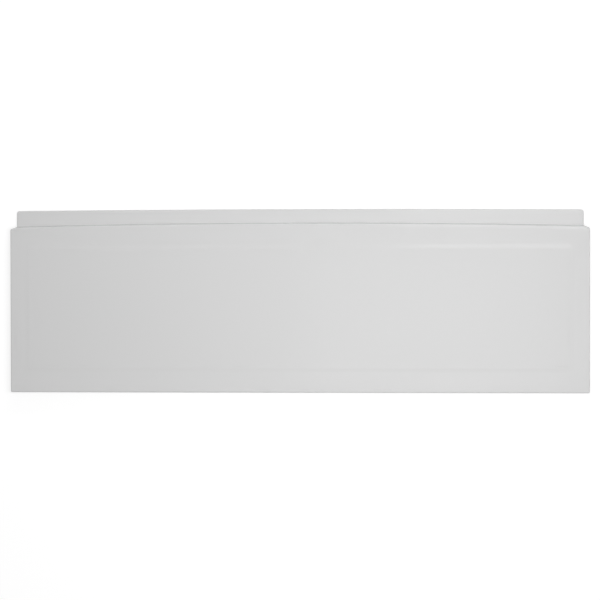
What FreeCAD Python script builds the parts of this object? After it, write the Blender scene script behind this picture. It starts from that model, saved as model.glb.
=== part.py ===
"""Front bath panel: one vacuum-formed acrylic sheet, lying face up on the rim of its returns.

X runs along the panel, Y from its foot to its lip, Z up out of its face, in millimetres.
The origin is under the middle of the panel, in the plane of the rim.
The sheet is what lies between two mouldings, its outer side and its inner side.
"""

import FreeCAD, Part
import math
import os
import Sketcher

NODE = "bath_panel"
LEVEL = 0.01  # an edge with less rise than this counts as level, in millimetres

# Driving dimensions: alias, value, meaning. Lengths are in millimetres, angles in degrees.
SIZES = [
    ("panel_length", 1700.0, "overall length, over the end returns"),
    ("panel_height", 540.0, "overall height, foot to lip edge at mid-length"),
    ("lip_depth", 10.0, "rim of the returns to the front of the lip"),
    ("shoulder_depth", 20.0, "front of the lip to the face"),
    ("sheet_wall", 3.0, "thickness of the formed sheet"),
    ("lip_height", 41.0, "lip edge to shoulder crease, at mid-length"),
    ("lip_inset", 17.0, "how far each end of the lip stands in from the panel's end"),
    ("lip_crown", 3.5, "rise of the lip edge from its ends to mid-length"),
    ("lip_corner", 4.0, "inside corner radius of the lip, seen from the front"),
    ("lip_edge", 1.0, "inside rounding between the front of the lip and its return"),
    ("shoulder_crown", 10.0, "rise of the shoulder crease from its ends to mid-length"),
    ("shoulder_drop", 9.0, "fall of the shoulder from its crease to the face"),
    ("notch_length", 14.0, "length of the slanted corner at each end of the shoulder"),
    ("notch_drop", 6.0, "fall of that slanted corner"),
    ("wall_draft", 3.0, "draft of the returns"),
    ("face_edge", 1.0, "inside rounding round the face and down its foot corners"),
]

# Derived places and leans, as expressions of the sheet's cells.
HALF_LENGTH = "sizes.panel_length / 2"
HALF_HEIGHT = "sizes.panel_height / 2"
PANEL_DEPTH = "sizes.lip_depth + sizes.shoulder_depth"
LIP_HALF = f"{HALF_LENGTH} - sizes.lip_inset"
CREASE = f"{HALF_HEIGHT} - sizes.lip_height"
CREASE_END = f"{CREASE} - sizes.shoulder_crown"
RETURN_LEAN = "tan(sizes.wall_draft)"
SHOULDER_LEAN = "(sizes.shoulder_drop / sizes.shoulder_depth)"
NOTCH_LEAN = "(sizes.notch_drop / sizes.notch_length)"
# The shoulder's slope carries on below the lip, so at the rim its outline stands further out.
RIM_RISE = f"sizes.lip_depth * {SHOULDER_LEAN}"
# The cut for the slanted corner runs on past the shoulder's outline by this much of its own length.
NOTCH_RUN = f"(({RIM_RISE} + sizes.shoulder_crown) / sizes.notch_drop)"

# The two sides of the sheet: name, and how far in from the outer side it lies.
OUTER = ("outer", "0")
INNER = ("inner", "sizes.sheet_wall")
RIM = "0"


def fill_sheet(doc):
    """Writes the driving dimensions into a spreadsheet, one aliased cell each."""
    sheet = doc.addObject("Spreadsheet::Sheet", "sizes")
    for row, (alias, value, meaning) in enumerate(SIZES, 1):
        sheet.set(f"A{row}", meaning)
        sheet.set(f"B{row}", str(value))
        sheet.setAlias(f"B{row}", alias)
    doc.recompute()


def arc_radius(half, crown):
    """Radius of an arc that rises by the crown over half its chord, as an expression."""
    return f"(({half}) ^ 2 + {crown} ^ 2) / (2 * {crown})"


def set_in(inset, level, lean):
    """How far a leaning wall stands in from the outer side's rim, as an expression."""
    return f"({inset} * sqrt(1 + {lean} ^ 2) + ({level}) * {lean})"


def mirrored(point):
    """The point's mirror image across the Y axis."""
    return FreeCAD.Vector(-point.x, point.y, 0)


class Outline:
    """A sketch that is symmetric about Y, with its sizes bound to expressions."""

    def __init__(self, sketch):
        self.sketch = sketch

    def number(self, expression):
        """Present value of an expression of the sheet's cells."""
        return float(self.sketch.evalExpression(expression))

    def rule(self, kind, *target):
        """Adds a constraint."""
        return self.sketch.addConstraint(Sketcher.Constraint(kind, *target))

    def bound(self, kind, *target, size):
        """Adds a dimension that follows the expression in size."""
        index = self.rule(kind, *target, self.number(size))
        self.sketch.setExpression(f"Constraints[{index}]", size)

    def place(self, side, corner):
        """Ties the start of a side to a corner given as a pair of expressions."""
        for axis, size in zip("XY", corner):
            self.bound(f"Distance{axis}", -1, 1, side, 1, size=size)

    def loop(self, sides, smooth=()):
        """Adds a closed run of sides, each a start and a point to bow through, or None for a line.

        The sides named in smooth run on into the next one without a corner.
        """
        first, count = self.sketch.GeometryCount, len(sides)
        for i, (start, via) in enumerate(sides):
            end = sides[(i + 1) % count][0]
            self.sketch.addGeometry(Part.Arc(start, via, end) if via else Part.LineSegment(start, end))
        for i in range(count):
            kind = "Tangent" if i in smooth else "Coincident"
            self.rule(kind, first + i, 2, first + (i + 1) % count, 1)
        return first

    def crowned(self, half, base, crest, radius, corner=None):
        """One outline with a straight base and ends, an arc along its top, and round top corners."""
        hub = f"{crest} - ({radius})"
        centre = FreeCAD.Vector(0, self.number(hub), 0)
        round_off = self.number(corner) if corner else 0
        x = self.number(half) - round_off
        reach = self.number(radius) - round_off
        middle = centre + FreeCAD.Vector(x, math.sqrt(reach ** 2 - x ** 2), 0)
        outward, upward = FreeCAD.Vector(1, 0, 0), (middle - centre).normalize()
        between = (outward + upward).normalize()
        foot = FreeCAD.Vector(self.number(half), self.number(base), 0)
        top = FreeCAD.Vector(0, self.number(crest), 0)
        low, via, high = (middle + way * round_off for way in (outward, between, upward))

        end, crown = (foot, None), (high, top)
        if corner:
            sides = [end, (low, via), crown, (mirrored(high), mirrored(via)), (mirrored(low), None)]
        else:
            sides = [end, crown, (mirrored(low), None)]
        sides.append((mirrored(foot), None))
        self.loop(sides, smooth=range(4) if corner else ())

        arch = sides.index(crown)
        last = len(sides) - 1
        self.rule("Vertical", 0)
        self.rule("Vertical", last - 1)
        self.rule("Symmetric", 0, 1, last, 1, -2)
        self.rule("PointOnObject", arch, 3, -2)
        self.place(0, (half, base))
        self.bound("DistanceY", -1, 1, arch, 3, size=hub)
        self.bound("Radius", arch, size=radius)
        if corner:
            self.bound("Radius", arch - 1, size=corner)
            self.bound("Radius", arch + 1, size=corner)
        return self.sketch

    def pair(self, corners):
        """Two separate outlines: the one with these corners, and its mirror image."""
        points = [FreeCAD.Vector(self.number(x), self.number(y), 0) for x, y in corners]
        first = self.loop([(point, None) for point in points])
        twin = self.loop([(mirrored(point), None) for point in points])
        for i, corner in enumerate(corners):
            self.place(first + i, corner)
            self.rule("Symmetric", first + i, 1, twin + i, 1, -2)
        return self.sketch


class Block:
    """A PartDesign body built up one feature at a time from the rim plane."""

    def __init__(self, doc, name):
        self.doc, self.name, self.tip = doc, name, None
        self.body = doc.addObject("PartDesign::Body", name)

    def outline(self, name, level):
        """A new outline for the walls, at a level above the rim."""
        sketch = self.doc.addObject("Sketcher::SketchObject", f"{self.name}_{name}")
        sketch.setExpression("Placement.Base.z", level)
        return Outline(sketch)

    def rim_outline(self, name):
        """A new outline on the body's own rim plane."""
        sketch = self.body.newObject("Sketcher::SketchObject", f"{self.name}_{name}")
        planes = {plane.Role: plane for plane in self.body.Origin.OriginFeatures}
        sketch.AttachmentSupport = [(planes["XY_Plane"], "")]
        sketch.MapMode = "FlatFace"
        return Outline(sketch)

    def add(self, kind, name, settings, **sizes):
        """Adds a feature with its settings, binds its sizes and makes it the tip."""
        self.tip = self.body.newObject(f"PartDesign::{kind}", f"{self.name}_{name}")
        for key, value in settings.items():
            setattr(self.tip, key, value)
        for key, size in sizes.items():
            self.tip.setExpression(key, size)
        self.doc.recompute()

    def loft(self, rim, front):
        """Starts the body with straight walls from the outline at the rim to the one at the front."""
        walls = self.doc.addObject("Part::Loft", f"{self.name}_walls")
        walls.Sections, walls.Ruled, walls.Solid = [rim, front], True, True
        self.body.BaseFeature = walls
        self.doc.recompute()
        self.tip = self.body.Tip

    def round(self, name, wanted, radius):
        """Rounds the edges that pass the test."""
        edges = [f"Edge{i}" for i, edge in enumerate(self.tip.Shape.Edges, 1) if wanted(edge.BoundBox)]
        self.add("Fillet", name, {"Base": (self.tip, edges)}, Radius=radius)

    def cut(self, name, outline):
        """Cuts an outline right through."""
        self.add("Pocket", name, {"Profile": outline, "Type": "ThroughAll", "Midplane": True})

    def combine(self, kind, other):
        """Fuses another block on, or cuts it away."""
        self.add("Boolean", kind.lower(), {"Type": kind, "Group": [other.body], "Refine": True})


def face_outline(block, name, inset, level):
    """The outline of the face block at a level."""
    upright = set_in(inset, level, RETURN_LEAN)
    sloped = set_in(inset, level, SHOULDER_LEAN)
    return block.outline(name, level).crowned(
        half=f"{HALF_LENGTH} - {upright}",
        base=f"{upright} - {HALF_HEIGHT}",
        crest=f"{CREASE} + {RIM_RISE} - {sloped}",
        radius=f"{arc_radius(HALF_LENGTH, 'sizes.shoulder_crown')} - {sloped}")


def face_block(doc, side):
    """The face with its end and foot returns, its sloped shoulder and the slanted corners."""
    name, inset = side
    block = Block(doc, f"{name}_face")
    rim = face_outline(block, "rim", inset, RIM)
    front = face_outline(block, "front", inset, f"{PANEL_DEPTH} - {inset}")
    block.loft(rim, front)

    def is_rounded(box):
        return box.ZMax > LEVEL and (box.ZLength < LEVEL or box.YMax < 0)

    block.round("edges", is_rounded, f"sizes.face_edge + sizes.sheet_wall - {inset}")

    slanted = set_in(inset, RIM, NOTCH_LEAN)
    outer = f"{HALF_LENGTH} + sizes.notch_length"
    inner = f"{HALF_LENGTH} - sizes.notch_length * (1 + {NOTCH_RUN})"
    low = f"{CREASE_END} - 2 * sizes.notch_drop - {slanted}"
    high = f"{CREASE_END} + sizes.notch_drop * {NOTCH_RUN} - {slanted}"
    corners = [(outer, low), (outer, high), (inner, high)]
    block.cut("notch", block.rim_outline("notch_outline").pair(corners))
    return block


def lip_outline(block, name, inset, level):
    """The outline of the lip at a level, rooted well inside the face block."""
    upright = set_in(inset, level, RETURN_LEAN)
    return block.outline(name, level).crowned(
        half=f"{LIP_HALF} - {upright}",
        base=f"{CREASE_END} - sizes.lip_height",
        crest=f"{HALF_HEIGHT} - {upright}",
        radius=f"{arc_radius(LIP_HALF, 'sizes.lip_crown')} - {upright}",
        corner=f"sizes.lip_corner + sizes.sheet_wall - {upright}")


def lip_block(doc, side):
    """The set-back lip along the top, with its rounded corners and its returns."""
    name, inset = side
    block = Block(doc, f"{name}_lip")
    rim = lip_outline(block, "rim", inset, RIM)
    front = lip_outline(block, "front", inset, f"sizes.lip_depth - {inset}")
    block.loft(rim, front)
    top = block.tip.Shape.BoundBox.ZMax

    def is_front_edge(box):
        return box.ZMin > top - LEVEL and box.YLength > LEVEL

    block.round("edges", is_front_edge, f"sizes.lip_edge + sizes.sheet_wall - {inset}")
    return block


def moulding(doc, side):
    """One side of the sheet, as a solid down to the rim plane."""
    block = face_block(doc, side)
    block.combine("Fuse", lip_block(doc, side))
    return block


def check(doc):
    """Stops the build if any object has failed or has no valid shape."""
    for item in doc.Objects:
        if {"Invalid", "Error"} & set(item.State):
            raise RuntimeError(f"{item.Label} failed: {item.getStatusString()}")
        if item.isDerivedFrom("Part::Feature") and (item.Shape.isNull() or not item.Shape.isValid()):
            raise RuntimeError(f"{item.Label} has no valid shape")


def main():
    """Builds the panel and writes its STEP file."""
    doc = FreeCAD.newDocument(NODE)
    fill_sheet(doc)
    panel = moulding(doc, OUTER)
    panel.combine("Cut", moulding(doc, INNER))
    panel.body.Label = NODE
    doc.recompute()
    check(doc)
    os.makedirs("parts", exist_ok=True)
    panel.body.Shape.exportStep(f"parts/{panel.body.Label}.step")


main()
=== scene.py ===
"""Looks, light and camera for a white acrylic bath panel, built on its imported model.

The panel is one formed sheet that lies face up on the floor. Its skin is modelled as by hand
from one block, with a low raised field in its face. Its wall is turned inwards from the skin,
and each side gets its own finish. All lengths are metres and all angles radians.
"""

import logging
import math
from dataclasses import dataclass
from enum import Enum
from typing import Any, Callable, Optional, Union

import bmesh
import bpy
from mathutils import Matrix, Vector


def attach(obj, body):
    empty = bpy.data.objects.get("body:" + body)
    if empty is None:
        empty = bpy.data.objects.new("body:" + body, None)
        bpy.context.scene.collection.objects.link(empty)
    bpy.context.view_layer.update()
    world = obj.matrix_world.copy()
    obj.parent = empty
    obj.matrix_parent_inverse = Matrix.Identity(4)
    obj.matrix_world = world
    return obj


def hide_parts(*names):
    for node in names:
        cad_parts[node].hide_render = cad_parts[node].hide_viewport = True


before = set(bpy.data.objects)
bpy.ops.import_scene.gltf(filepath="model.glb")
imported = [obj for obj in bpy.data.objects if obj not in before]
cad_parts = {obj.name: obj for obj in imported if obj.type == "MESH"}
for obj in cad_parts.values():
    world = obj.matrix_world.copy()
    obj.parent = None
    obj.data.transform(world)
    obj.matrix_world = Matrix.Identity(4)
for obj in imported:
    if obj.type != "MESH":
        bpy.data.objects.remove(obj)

log = logging.getLogger("bath_panel")

Triple = tuple[float, float, float]
PointTest = Callable[[Vector], bool]
PairTest = Callable[[Vector, Vector], bool]

NODE = "bath_panel"
BODY = "root"
TIGHT = 1e-4          # how near a point is to a place that it is picked by
FACING = 0.7          # how squarely a face looks along an axis that it is picked by
NOISE_MIDDLE = 0.5    # the value that a noise varies about


class Axis(Enum):
    """The three directions of the shared frame."""

    LENGTH = (1.0, 0.0, 0.0)
    HEIGHT = (0.0, 1.0, 0.0)
    DEPTH = (0.0, 0.0, 1.0)


class Side(Enum):
    """The sides of the formed sheet, in the order of the piece's material slots."""

    FACE = 0
    BACK = 1
    RIM = 2


class Role(Enum):
    """What a lamp is for: the even light on a surface, or the gleam in its gloss."""

    WASH = "wash"
    GLEAM = "gleam"


# ---------------------------------------------------------------- shader maths


class Signal:
    """One value socket, whose arithmetic adds Math nodes to its own tree."""

    def __init__(self, board: "Board", socket: bpy.types.NodeSocket) -> None:
        """Keep the socket and the board that it belongs to."""
        self.board = board
        self.socket = socket

    def _math(self, operation: str, first: Any, second: Any) -> "Signal":
        """Add one Math node for an operation on two values or signals."""
        return self.board.add("ShaderNodeMath", {"operation": operation}, {0: first, 1: second})

    def __add__(self, other: Any) -> "Signal":
        """This signal plus other."""
        return self._math("ADD", self, other)

    def __radd__(self, other: Any) -> "Signal":
        """Other plus this signal."""
        return self._math("ADD", other, self)

    def __sub__(self, other: Any) -> "Signal":
        """This signal less other."""
        return self._math("SUBTRACT", self, other)

    def __rsub__(self, other: Any) -> "Signal":
        """Other less this signal."""
        return self._math("SUBTRACT", other, self)

    def __mul__(self, other: Any) -> "Signal":
        """This signal times other."""
        return self._math("MULTIPLY", self, other)

    def __rmul__(self, other: Any) -> "Signal":
        """Other times this signal."""
        return self._math("MULTIPLY", other, self)

    def most(self, other: Any) -> "Signal":
        """The larger of this signal and other."""
        return self._math("MAXIMUM", self, other)


class Board:
    """A node tree that is cleared and then filled one node at a time."""

    def __init__(self, tree: bpy.types.NodeTree) -> None:
        """Clear the tree."""
        self.tree = tree
        tree.nodes.clear()

    def add(self, kind: str, settings: Optional[dict[str, Any]] = None,
            sockets: Optional[dict[Union[str, int], Any]] = None,
            out: Union[str, int] = 0) -> Signal:
        """Add any node.

        Args:
            kind: the node's type.
            settings: its own settings, set before its sockets.
            sockets: values or signals for its inputs, by name or by number.
            out: the output that is wanted.

        Returns:
            That output as a signal.
        """
        node = self.tree.nodes.new(kind)
        for name, value in (settings or {}).items():
            setattr(node, name, value)
        for name, value in (sockets or {}).items():
            if isinstance(value, Signal):
                self.tree.links.new(value.socket, node.inputs[name])
            else:
                node.inputs[name].default_value = value
        return Signal(self, node.outputs[out] if len(node.outputs) else None)

    def place(self) -> Signal:
        """The point on the surface, in the shared frame."""
        return self.add("ShaderNodeTexCoord", out="Object")

    def noise(self, scale: float, detail: float = 2.0,
              stretch: Triple = (1.0, 1.0, 1.0)) -> Signal:
        """Add noise in the shared frame.

        Args:
            scale: how many cells there are to the metre.
            detail: how many finer layers it has.
            stretch: the pattern's scale along each direction.

        Returns:
            The noise, which varies about its middle value.
        """
        point = self.add("ShaderNodeMapping", sockets={"Vector": self.place(), "Scale": stretch})
        sockets = {"Vector": point, "Scale": scale, "Detail": detail}
        return self.add("ShaderNodeTexNoise", sockets=sockets, out="Fac")

    def blend(self, share: Signal, first: Any, second: Any) -> Signal:
        """Mix two colours.

        Args:
            share: how much of the second colour there is.
            first: the colour at 0.
            second: the colour at 1.

        Returns:
            The mixed colour.
        """
        sockets = {0: share, 6: first, 7: second}      # a Mix node's sockets for colours
        return self.add("ShaderNodeMix", {"data_type": "RGBA"}, sockets, out=2)

    def relief(self, height: Signal, distance: float, strength: float) -> Signal:
        """Turn a height into a bumped normal.

        Args:
            height: the height, from 0 to 1.
            distance: what a height of 1 measures.
            strength: how much of it shows.

        Returns:
            The normal.
        """
        sockets = {"Height": height, "Distance": distance, "Strength": strength}
        return self.add("ShaderNodeBump", sockets=sockets)


# -------------------------------------------------------------------- finishes


def grey(value: float) -> tuple[float, float, float, float]:
    """A neutral colour of that level."""
    return (value, value, value, 1.0)


@dataclass(frozen=True)
class Finish:
    """A plain finish that the others build on."""

    name: str
    tone: float

    def material(self) -> bpy.types.Material:
        """Make the material.

        Returns:
            The material, with its nodes in place.
        """
        made = bpy.data.materials.new(self.name)
        made.use_nodes = True
        board = Board(made.node_tree)
        surface = self.surface(board)
        board.add("ShaderNodeOutputMaterial", sockets={"Surface": surface})
        return made

    def surface(self, board: Board) -> Signal:
        """Build the shader; each finish has its own."""
        raise NotImplementedError


@dataclass(frozen=True)
class Acrylic(Finish):
    """Acrylic sheet, whose colour and gloss vary a little from place to place."""

    roughness: float
    refraction: float = 1.49
    tone_spread: float = 0.0
    gloss_spread: float = 0.0

    def sheet(self, board: Board, tint: Signal, dullness: Signal, normal: Signal) -> Signal:
        """Join the sheet's patterns into its shader.

        Args:
            board: the material's board.
            tint: the noise that its colour follows.
            dullness: the noise that its roughness follows.
            normal: its bumped normal.

        Returns:
            The shader.
        """
        low, high = self.tone - self.tone_spread / 2, self.tone + self.tone_spread / 2
        return board.add("ShaderNodeBsdfPrincipled", sockets={
            "Base Color": board.blend(tint, grey(low), grey(high)),
            "Roughness": self.roughness + self.gloss_spread * (dullness - NOISE_MIDDLE),
            "IOR": self.refraction,
            "Normal": normal,
        })


@dataclass(frozen=True)
class GlossAcrylic(Acrylic):
    """The polished side of the sheet: near white, with a faint unevenness in its gloss."""

    tone_spread: float = 0.012
    gloss_spread: float = 0.05
    swirl_cells: float = 1.7
    smear_cells: float = 9.0
    smear_stretch: Triple = (0.35, 1.0, 1.0)
    peel_cells: float = 260.0
    peel_height: float = 0.00002
    peel_strength: float = 0.5

    def surface(self, board: Board) -> Signal:
        """Build the shader.

        Args:
            board: the material's board.

        Returns:
            The shader.
        """
        swirl = board.noise(self.swirl_cells, detail=1.0)
        smear = board.noise(self.smear_cells, detail=4.0, stretch=self.smear_stretch)
        peel = board.noise(self.peel_cells)
        normal = board.relief(peel, self.peel_height, self.peel_strength)
        return self.sheet(board, swirl, smear, normal)


@dataclass(frozen=True)
class SatinAcrylic(Acrylic):
    """The side that lay against the former: satin, with a fine leathery grain."""

    tone_spread: float = 0.03
    gloss_spread: float = 0.15
    cloud_cells: float = 5.0
    grain_cells: float = 700.0
    grain_height: float = 0.00012
    grain_strength: float = 0.6

    def surface(self, board: Board) -> Signal:
        """Build the shader.

        Args:
            board: the material's board.

        Returns:
            The shader.
        """
        cloud = board.noise(self.cloud_cells, detail=3.0)
        grain = board.noise(self.grain_cells, detail=3.0)
        normal = board.relief(grain, self.grain_height, self.grain_strength)
        return self.sheet(board, cloud, grain, normal)


@dataclass(frozen=True)
class SawnAcrylic(Acrylic):
    """The trimmed edge of the sheet: dull, with close saw lines across the wall."""

    tone_spread: float = 0.06
    gloss_spread: float = 0.2
    line_cells: float = 900.0
    line_stretch: Triple = (1.0, 1.0, 0.05)
    line_height: float = 0.0001
    line_strength: float = 0.8

    def surface(self, board: Board) -> Signal:
        """Build the shader.

        Args:
            board: the material's board.

        Returns:
            The shader.
        """
        lines = board.noise(self.line_cells, detail=1.0, stretch=self.line_stretch)
        normal = board.relief(lines, self.line_height, self.line_strength)
        return self.sheet(board, lines, lines, normal)


# ------------------------------------------------------------------- modelling


class Bench:
    """One mesh worked in edit mode: its parts are picked by place, then an operator acts."""

    def __init__(self, name: str, low: Triple, high: Triple) -> None:
        """Add a block and open it for editing.

        Args:
            name: the piece's name.
            low: the block's lowest corner.
            high: the block's highest corner.
        """
        bpy.ops.object.select_all(action="DESELECT")
        lowest, highest = Vector(low), Vector(high)
        bpy.ops.mesh.primitive_cube_add(size=1.0, location=(lowest + highest) / 2,
                                        scale=highest - lowest)
        bpy.ops.object.transform_apply(location=True, rotation=True, scale=True)
        self.piece: bpy.types.Object = bpy.context.active_object
        self.piece.name = name
        self.piece.data.name = name
        self.edit()

    def edit(self) -> None:
        """Open the mesh for editing."""
        bpy.ops.object.mode_set(mode="EDIT")

    def close(self) -> None:
        """Leave edit mode."""
        bpy.ops.object.mode_set(mode="OBJECT")

    def _pick(self, kind: str, test: Callable[[Any], bool]) -> None:
        """Select the parts that a test takes, and nothing else.

        Args:
            kind: "VERT", "EDGE" or "FACE".
            test: what a part has to pass.
        """
        bpy.ops.mesh.select_mode(type=kind)
        bpy.ops.mesh.select_all(action="DESELECT")
        mesh = bmesh.from_edit_mesh(self.piece.data)
        parts = {"VERT": mesh.verts, "EDGE": mesh.edges, "FACE": mesh.faces}[kind]
        taken = [part for part in parts if test(part)]
        for part in taken:
            part.select_set(True)
        mesh.select_flush_mode()
        bmesh.update_edit_mesh(self.piece.data)
        if not taken:
            raise ValueError(f"{self.piece.name}: nothing was picked")

    def points(self, test: PointTest) -> None:
        """Select points by their place."""
        self._pick("VERT", lambda part: test(part.co))

    def edges(self, test: PairTest) -> None:
        """Select edges by their two ends."""
        self._pick("EDGE", lambda part: test(part.verts[0].co, part.verts[1].co))

    def faces(self, test: PairTest) -> None:
        """Select faces by their middle and normal."""
        self._pick("FACE", lambda part: test(part.calc_center_median(), part.normal))

    def move(self, x: float = 0.0, y: float = 0.0, z: float = 0.0) -> None:
        """Move what is selected."""
        bpy.ops.transform.translate(value=(x, y, z))

    def draw_out(self, x: float = 0.0, y: float = 0.0, z: float = 0.0) -> None:
        """Extrude the selected faces."""
        bpy.ops.mesh.extrude_region_move(TRANSFORM_OT_translate={"value": (x, y, z)})

    def drop_faces(self) -> None:
        """Delete the selected faces."""
        bpy.ops.mesh.delete(type="FACE")

    def cut(self, axis: Axis, place: float) -> None:
        """Cut the whole mesh through at a place along an axis, and keep both sides."""
        bpy.ops.mesh.select_all(action="SELECT")
        bpy.ops.mesh.bisect(plane_co=Vector(axis.value) * place, plane_no=axis.value)

    def round(self, offset: float, steps: int) -> None:
        """Round the selected edges over."""
        bpy.ops.mesh.bevel(offset=offset, segments=steps, profile=0.5, affect="EDGES",
                           clamp_overlap=False)

    def mark(self, share: float) -> None:
        """Mark the selected edges for a share of the rounding that a modifier gives later."""
        bpy.ops.transform.edge_bevelweight(value=share)

    def merge(self, reach: float) -> None:
        """Merge the selected points that are closer than reach."""
        bpy.ops.mesh.remove_doubles(threshold=reach)

    def weigh(self, name: str, weight: Callable[[Vector], float]) -> str:
        """Give each point a weight.

        Args:
            name: the vertex group's name.
            weight: a point's weight by its place.

        Returns:
            The group's name.
        """
        group = self.piece.vertex_groups.new(name=name)
        for point in self.piece.data.vertices:
            group.add([point.index], max(0.0, min(1.0, weight(point.co))), "REPLACE")
        return group.name

    def modify(self, kind: str, **settings: Any) -> None:
        """Add a modifier and apply it.

        Args:
            kind: the modifier's type.
            settings: its settings by name.
        """
        step = self.piece.modifiers.new(kind.title(), kind)
        for name, value in settings.items():
            setattr(step, name, value)
        bpy.ops.object.modifier_apply(modifier=step.name)


def near(value: float, place: float) -> bool:
    """Whether a value is at a place."""
    return abs(value - place) < TIGHT


@dataclass
class PanelSheet:
    """The bath panel: a face with turned-over ends and foot, and a low lip along its top."""

    length: float = 1.700
    height: float = 0.540
    depth: float = 0.030
    wall: float = 0.003
    draft: float = math.tan(math.radians(3.0))     # how far the ends and foot lean, to the metre
    edge: float = 0.004
    edge_steps: int = 6
    smooth_angle: float = math.radians(38.0)       # the sharpest turn that is shaded smooth

    lip_depth: float = 0.010
    lip_height: float = 0.041
    lip_inset: float = 0.017
    lip_crown: float = 0.0035
    lip_corner: float = 0.007
    lip_corner_steps: int = 8

    shoulder_crown: float = 0.010
    shoulder_lean: float = 0.12
    shoulder_edge: float = 0.008
    notch_length: float = 0.014
    notch_drop: float = 0.006
    notch_reach: float = 0.012                     # how deep a slanted corner's inner side goes
    notch_merge: float = 0.00167                   # how close its inner points are when merged

    field_half: float = 0.798
    field_foot: float = -0.202
    field_head: float = 0.160
    field_rise: float = 0.0008
    field_slope: float = 0.016
    field_corner: float = 0.012
    field_cuts: tuple[float, ...] = (-1.0, -0.75, -0.5, -0.25, 0.0, 0.25, 0.5)  # in slopes

    column: float = 0.026
    row: float = 0.030
    face_margin: float = 0.012                     # how far the rows stay from the face's edges
    ripple: float = 0.00022
    ripple_length: float = 0.33
    ripple_hold: float = 0.05

    face_finish: Finish = GlossAcrylic("gloss_acrylic_face", tone=0.74, roughness=0.12)
    back_finish: Finish = SatinAcrylic("satin_acrylic_back", tone=0.70, roughness=0.46)
    rim_finish: Finish = SawnAcrylic("sawn_acrylic_rim", tone=0.70, roughness=0.60)

    # ---- places that follow from the sizes

    @property
    def half(self) -> float:
        """Half the length at the rim."""
        return self.length / 2

    @property
    def foot(self) -> float:
        """The foot's place at the rim."""
        return -self.height / 2

    @property
    def brow(self) -> float:
        """The level of the face's border, from which its field rises."""
        return self.depth - self.field_rise

    @property
    def lip_half(self) -> float:
        """Half the lip's length."""
        return self.half - self.lip_inset

    @property
    def lip_top(self) -> float:
        """The lip's upper edge at its two ends, at the rim."""
        return self.height / 2 - self.lip_crown

    @property
    def rise(self) -> float:
        """How much higher the shoulder is at the lip's ends than at the panel's ends."""
        return self.shoulder_crown * (1 - (self.lip_half / self.half) ** 2)

    @property
    def lip_root(self) -> float:
        """The shoulder's place at the lip's ends, at the lip's level."""
        return self.shoulder(self.lip_depth) + self.rise

    @property
    def face_head(self) -> float:
        """The highest row cut straight through the face, just below the shoulder's rounding."""
        return self.shoulder(self.brow) - self.face_margin

    @property
    def rim_reach(self) -> float:
        """How far above the floor a point may be and still belong to the rim."""
        return self.wall / 4

    def shoulder(self, z: float) -> float:
        """The shoulder's place at the panel's two ends, at a height above the floor."""
        crest = self.height / 2 - self.lip_height
        return crest - self.shoulder_crown - self.shoulder_lean * (z - self.lip_depth)

    def end(self, z: float) -> float:
        """Half the length at a height above the floor."""
        return self.half - self.draft * z

    def notch(self, x: float) -> float:
        """The slanted corner's line at a place along the panel."""
        slant = self.notch_drop / self.notch_length
        return self.shoulder(self.lip_depth) - self.notch_drop + (self.half - abs(x)) * slant

    def bow(self, x: float) -> float:
        """The share of a crown at a place along the panel: none at the lip's ends."""
        return 1 - (x / self.lip_half) ** 2

    def field_share(self, p: Vector) -> float:
        """How far a point of the face is raised with its field.

        Args:
            p: the point.

        Returns:
            1 on the field, 0 on the border around it, and a soft step between them.
        """
        middle = (self.field_head + self.field_foot) / 2
        half = (self.field_head - self.field_foot) / 2
        along = abs(p.x) - self.field_half + self.field_corner
        across = abs(p.y - middle) - half + self.field_corner
        beyond = math.hypot(max(along, 0.0), max(across, 0.0))
        outside = beyond + min(max(along, across), 0.0) - self.field_corner
        share = max(0.0, min(1.0, 0.5 - outside / self.field_slope))
        return share * share * (3 - 2 * share)

    def slack(self, p: Vector) -> float:
        """How free the face is to ripple at a point.

        Args:
            p: the point.

        Returns:
            0 along the face's edges and off the face, and more the further in the point is.
        """
        if p.z < self.brow - TIGHT:
            return 0.0
        inset = min(self.half - abs(p.x), p.y - self.foot, self.face_head - p.y)
        return inset / self.ripple_hold

    def inside_corner(self, p: Vector) -> bool:
        """Whether a point is on the wall's inner side in one of the two slanted corners.

        Args:
            p: the point.

        Returns:
            True for such a point.
        """
        slant = self.notch(p.x) - self.shoulder_lean * max(0.0, p.z - self.lip_depth)
        depths = (self.end(p.z) - abs(p.x), slant - p.y)
        inside = min(*depths, self.brow - p.z) > self.wall / 2 and p.z > self.rim_reach
        return inside and max(depths) < self.notch_reach

    # ---- making

    def build(self) -> bpy.types.Object:
        """Model the sheet from a block.

        Returns:
            The finished piece.
        """
        bench = Bench("formed_sheet", (-self.half, self.foot, 0.0),
                      (self.half, self.shoulder(0.0), self.brow))
        self._lean_walls(bench)
        self._slant_corners(bench)
        self._draw_lip(bench)
        self._round_lip(bench)
        self._round_edges(bench)
        self._cut_grid(bench)
        self._bow_edges(bench)
        self._form_face(bench)
        self._thicken(bench)
        self._smooth(bench)
        return bench.piece

    def _lean_walls(self, bench: Bench) -> None:
        """Open the block's back and lean its walls in towards the face.

        Args:
            bench: the block.
        """
        bench.faces(lambda middle, normal: normal.z < -FACING)
        bench.drop_faces()
        lean = self.draft * self.brow
        bench.points(lambda p: near(p.z, self.brow) and p.x < 0)
        bench.move(x=lean)
        bench.points(lambda p: near(p.z, self.brow) and p.x > 0)
        bench.move(x=-lean)
        bench.points(lambda p: near(p.z, self.brow) and p.y < 0)
        bench.move(y=lean)
        bench.points(lambda p: near(p.z, self.brow) and p.y > 0)
        bench.move(y=-self.shoulder_lean * self.brow)

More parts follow.
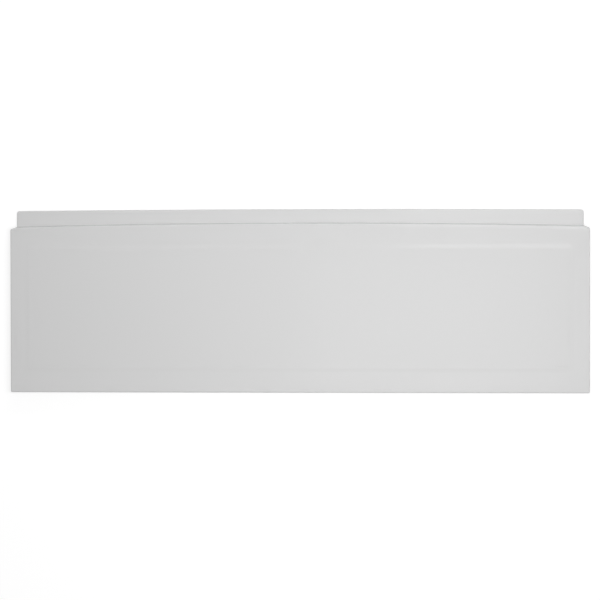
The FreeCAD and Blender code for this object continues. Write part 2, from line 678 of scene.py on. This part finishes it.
    def _slant_corners(self, bench: Bench) -> None:
        """Cut the walls at the lip's level and set the two upper corners back to a slant.

        Args:
            bench: the open block.
        """
        bench.cut(Axis.DEPTH, self.lip_depth)
        for x in (-self.lip_half, self.lip_half):
            bench.cut(Axis.LENGTH, x)
        bench.points(lambda p: p.y > 0 and near(abs(p.x), self.lip_half))
        bench.move(y=self.rise)
        for z in (0.0, self.lip_depth, self.brow):
            lean = self.shoulder_lean * max(0.0, z - self.lip_depth)
            bench.points(lambda p: p.y > 0 and near(p.z, z) and near(abs(p.x), self.end(z)))
            bench.move(y=self.notch(self.end(z)) - lean - self.shoulder(z))

    def _draw_lip(self, bench: Bench) -> None:
        """Draw the lip out of the shoulder wall's lower strip, and lean its walls in.

        Args:
            bench: the block with its slanted corners.
        """
        reach = self.lip_top - self.shoulder(0.0) - self.rise
        bench.faces(lambda middle, normal: normal.y > FACING and middle.z < self.lip_depth
                    and abs(middle.x) < self.lip_half / 2)
        bench.draw_out(y=reach)
        bench.faces(lambda middle, normal: near(middle.z, 0.0) and abs(normal.z) > FACING)
        bench.drop_faces()
        front = self.lip_root + reach
        lean = self.draft * self.lip_depth
        bench.points(lambda p: near(p.z, self.lip_depth) and near(p.y, front))
        bench.move(y=self.lip_top - lean - front)
        for way in (-1, 1):
            bench.points(lambda p: near(p.z, self.lip_depth) and near(p.y, self.lip_top - lean)
                         and p.x * way > 0)
            bench.move(x=-way * lean)

    def _round_lip(self, bench: Bench) -> None:
        """Round the lip's two corners, then its front edge.

        Args:
            bench: the block with its lip.
        """
        upper, root = self.lip_top - 2 * self.draft * self.lip_depth, self.lip_root
        bench.edges(lambda a, b: min(a.y, b.y) > upper and abs(a.z - b.z) > TIGHT)
        bench.round(self.lip_corner, self.lip_corner_steps)
        bench.edges(lambda a, b: near(a.z, self.lip_depth) and near(b.z, self.lip_depth)
                    and max(a.y, b.y) > root + self.lip_corner
                    and not (near(a.y, root) and near(b.y, root)))
        bench.round(self.edge, self.edge_steps)

    def _round_edges(self, bench: Bench) -> None:
        """Round the shoulder, the face's other edges and the upright corners over.

        Args:
            bench: the block with its lip.
        """
        turn = math.pi / 2 - math.atan(self.shoulder_lean)
        width = self.shoulder_edge * math.tan(turn / 2)
        slant = math.atan2(self.notch_length, self.notch_drop)

        def level(a: Vector, b: Vector) -> bool:
            """Whether an edge runs along the face's border."""
            return near(a.z, self.brow) and near(b.z, self.brow)

        def outer(a: Vector, b: Vector) -> bool:
            """Whether an edge is at one of the panel's ends."""
            return min(abs(a.x), abs(b.x)) > self.lip_half + TIGHT

        def upright(a: Vector, b: Vector) -> bool:
            """Whether an edge at one of the panel's ends leaves its level."""
            return outer(a, b) and abs(a.z - b.z) > TIGHT

        bench.edges(lambda a, b: level(a, b) and min(a.y, b.y) > 0)
        bench.mark(1.0)
        bench.edges(lambda a, b: level(a, b) and (max(a.y, b.y) < 0 or outer(a, b)))
        bench.mark(self.edge / width)
        bench.edges(lambda a, b: upright(a, b) and max(a.y, b.y) < 0)
        bench.mark(self.edge / width)
        bench.edges(lambda a, b: upright(a, b) and min(a.y, b.y) > 0)
        bench.mark(self.edge * math.tan(slant / 2) / width)
        bench.close()
        bench.modify("BEVEL", limit_method="WEIGHT", width=width, segments=self.edge_steps,
                     use_clamp_overlap=False)

    def _cut_grid(self, bench: Bench) -> None:
        """Cut the sheet into columns and rows, closer along the border of the raised field.

        Args:
            bench: the rounded skin.
        """
        bench.edit()
        reach = self.lip_half - 2 * self.lip_corner
        count = round(2 * reach / self.column)
        for step in range(1, count):
            bench.cut(Axis.LENGTH, -reach + 2 * reach * step / count)
        low, high = self.foot + self.face_margin, self.face_head
        count = round((high - low) / self.row)
        for step in range(count + 1):
            bench.cut(Axis.HEIGHT, low + (high - low) * step / count)
        for share in self.field_cuts:
            out = share * self.field_slope
            bench.cut(Axis.LENGTH, self.field_half + out)
            bench.cut(Axis.LENGTH, -self.field_half - out)
            bench.cut(Axis.HEIGHT, self.field_head + out)
            bench.cut(Axis.HEIGHT, self.field_foot - out)
        bench.close()

    def _bow_edges(self, bench: Bench) -> None:
        """Bow the shoulder and the lip's upper edge.

        Args:
            bench: the skin with its grid.
        """
        low, high = self.face_head + TIGHT, self.lip_root + TIGHT
        group = bench.weigh("shoulder", lambda p: self.bow(p.x) if low < p.y < high else 0.0)
        bench.modify("DISPLACE", direction="Y", mid_level=0.0, vertex_group=group,
                     strength=self.shoulder_crown - self.rise)
        lip = self.lip_top - 2 * self.lip_corner
        group = bench.weigh("lip", lambda p: self.bow(p.x) if p.y > lip else 0.0)
        bench.modify("DISPLACE", direction="Y", mid_level=0.0, vertex_group=group,
                     strength=self.lip_crown)

    def _form_face(self, bench: Bench) -> None:
        """Raise the face's low field, and let the face ripple as a formed sheet does.

        Args:
            bench: the bowed skin.
        """
        group = bench.weigh("field", self.field_share)
        bench.modify("DISPLACE", direction="Z", mid_level=0.0, vertex_group=group,
                     strength=self.field_rise)
        cloud = bpy.data.textures.new("forming_ripple", "CLOUDS")
        cloud.noise_scale = self.ripple_length
        cloud.noise_depth = 1
        group = bench.weigh("face", self.slack)
        bench.modify("DISPLACE", direction="Z", texture=cloud, texture_coords="LOCAL",
                     mid_level=NOISE_MIDDLE, vertex_group=group, strength=self.ripple)

    def _thicken(self, bench: Bench) -> None:
        """Turn the wall inwards from the skin, dress its sides and trim its rim level.

        Args:
            bench: the finished skin.
        """
        for finish in (self.face_finish, self.back_finish, self.rim_finish):
            bench.piece.data.materials.append(finish.material())
        bench.piece.vertex_groups.clear()
        bench.modify("SOLIDIFY", thickness=self.wall, offset=-1.0, use_even_offset=True,
                     use_rim=True, material_offset=Side.BACK.value,
                     material_offset_rim=Side.RIM.value)
        bench.edit()
        bench.points(lambda p: p.z < self.rim_reach)
        bpy.ops.transform.resize(value=(1.0, 1.0, 0.0), center_override=(0.0, 0.0, 0.0))
        bench.points(self.inside_corner)
        bench.merge(self.notch_merge)
        bench.close()

    def _smooth(self, bench: Bench) -> None:
        """Shade the roundings smooth, and keep the crease and the rim crisp."""
        bpy.ops.object.shade_smooth_by_angle(angle=self.smooth_angle)
        bench.modify("WEIGHTED_NORMAL", keep_sharp=True)

    def mount(self, piece: bpy.types.Object) -> None:
        """Let the piece stand for its CAD node.

        Args:
            piece: the finished sheet.
        """
        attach(piece, BODY)
        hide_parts(NODE)


# ----------------------------------------------------------------------- stage


def seen(board: Board) -> Signal:
    """Whether a ray comes from the eye, or through a mirror or glass.

    Args:
        board: the board that needs it.

    Returns:
        1 for such a ray and 0 for the others.
    """
    eye = board.add("ShaderNodeLightPath", out="Is Camera Ray")
    mirror = board.add("ShaderNodeLightPath", out="Is Glossy Ray")
    glass = board.add("ShaderNodeLightPath", out="Is Transmission Ray")
    return eye.most(mirror).most(glass)


@dataclass(frozen=True)
class FloorFinish(Finish):
    """A pale matt floor that shows white to the eye and still takes a soft shadow."""

    shown_tone: float = 0.42
    glow: float = 0.71
    far_glow: float = 0.81
    near_reach: float = 1.3
    far_reach: float = 4.0

    def surface(self, board: Board) -> Signal:
        """Build the shader.

        Args:
            board: the material's board.

        Returns:
            The shader.
        """
        bounce = board.add("ShaderNodeBsdfDiffuse", sockets={"Color": grey(self.tone)})
        shade = board.add("ShaderNodeBsdfDiffuse", sockets={"Color": grey(self.shown_tone)})
        reach = board.add("ShaderNodeVectorMath", {"operation": "LENGTH"}, {0: board.place()},
                          out="Value")
        away = board.add("ShaderNodeMapRange", sockets={
            "Value": reach, "From Min": self.near_reach, "From Max": self.far_reach})
        tint = board.blend(away, grey(self.glow), grey(self.far_glow))
        glow = board.add("ShaderNodeEmission", sockets={"Color": tint, "Strength": 1.0})
        shown = board.add("ShaderNodeAddShader", sockets={0: shade, 1: glow})
        return board.add("ShaderNodeMixShader", sockets={0: seen(board), 1: bounce, 2: shown})


@dataclass(frozen=True)
class Softbox:
    """One soft lamp."""

    name: str
    place: Triple
    aim: Triple
    width: float
    height: float
    power: float
    role: Role = Role.WASH

    def hang(self) -> None:
        """Hang the lamp, turned towards its aim and hidden from the camera."""
        lamp = bpy.data.lights.new(self.name, "AREA")
        lamp.shape = "RECTANGLE"
        lamp.size, lamp.size_y = self.width, self.height
        lamp.energy = self.power
        hung = bpy.data.objects.new(self.name, lamp)
        hung.location = self.place
        way = Vector(self.aim) - Vector(self.place)
        hung.rotation_euler = way.to_track_quat("-Z", "Y").to_euler()
        hung.visible_camera = False
        hung.visible_diffuse = self.role is Role.WASH
        hung.visible_glossy = self.role is Role.GLEAM
        bpy.context.scene.collection.objects.link(hung)


@dataclass
class Studio:
    """The floor, the soft light and the camera."""

    floor_size: float = 60.0
    floor_finish: Finish = FloorFinish("pale_floor", tone=0.40)
    ambient: float = 0.471
    lamps: tuple[Softbox, ...] = (
        Softbox("overhead_softbox", place=(0.43, -0.12, 2.0), aim=(0.43, 0.0, 0.0),
                width=1.0, height=0.6, power=16.0),
        Softbox("upper_softbox", place=(0.0, 2.50, 1.10), aim=(0.0, 0.20, 0.0),
                width=1.5, height=0.5, power=14.0),
        Softbox("upper_strip", place=(0.85, 1.40, 1.95), aim=(0.75, 0.20, 0.0),
                width=1.1, height=1.0, power=13.0, role=Role.GLEAM),
        Softbox("overhead_strip", place=(0.78, 0.50, 2.50), aim=(0.78, 0.16, 0.0),
                width=0.9, height=0.22, power=0.85, role=Role.GLEAM),
        Softbox("side_strip", place=(2.40, 0.40, 1.50), aim=(0.85, 0.0, 0.0),
                width=0.8, height=1.2, power=8.0, role=Role.GLEAM),
    )
    eye: Triple = (0.2416, 0.0662, 5.0)
    target: Triple = (0.0063, 0.0031, 0.030)
    roll: float = -0.0012
    lens: float = 102.1         # millimetres, as the sensor is
    sensor: float = 36.0
    sight: float = 200.0

    def lay_floor(self) -> bpy.types.Object:
        """Lay the floor under the object.

        Returns:
            The floor.
        """
        bpy.ops.object.select_all(action="DESELECT")
        bpy.ops.mesh.primitive_plane_add(size=self.floor_size, location=(0.0, 0.0, 0.0))
        floor = bpy.context.active_object
        floor.name = "floor"
        floor.data.materials.append(self.floor_finish.material())
        return floor

    def light(self) -> None:
        """Set the world's even light and hang the lamps."""
        world = bpy.data.worlds.new("even_light")
        world.use_nodes = True
        board = Board(world.node_tree)
        white, even = (
            board.add("ShaderNodeBackground", sockets={"Color": grey(1.0), "Strength": strength})
            for strength in (1.0, self.ambient))
        shown = board.add("ShaderNodeMixShader", sockets={0: seen(board), 1: even, 2: white})
        board.add("ShaderNodeOutputWorld", sockets={"Surface": shown})
        bpy.context.scene.world = world
        for lamp in self.lamps:
            lamp.hang()

    def camera(self) -> None:
        """Set the camera up above the panel, at the photograph's view."""
        data = bpy.data.cameras.new("camera")
        data.lens = self.lens
        data.sensor_width = self.sensor
        data.clip_end = self.sight
        camera = bpy.data.objects.new("camera", data)
        camera.location = self.eye
        ahead = (Vector(self.target) - Vector(self.eye)).normalized()
        right = ahead.cross(Vector(Axis.HEIGHT.value)).normalized()
        turn = Matrix((right, right.cross(ahead), -ahead)).transposed()
        camera.rotation_euler = (turn @ Matrix.Rotation(self.roll, 3, "Z")).to_euler()
        bpy.context.scene.collection.objects.link(camera)
        bpy.context.scene.camera = camera
        bpy.context.scene.view_settings.view_transform = "Standard"


def main() -> None:
    """Build the panel, its stage and its camera."""
    logging.basicConfig(level=logging.INFO, format="%(name)s: %(message)s")
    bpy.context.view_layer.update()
    studio = Studio()
    studio.camera()
    sheet = PanelSheet()
    piece = sheet.build()
    sheet.mount(piece)
    log.info("%s: %d faces", piece.name, len(piece.data.polygons))
    floor = studio.lay_floor()
    studio.light()
    log.info("%s and %d lamps", floor.name, len(studio.lamps))


if __name__ == "__main__":
    main()
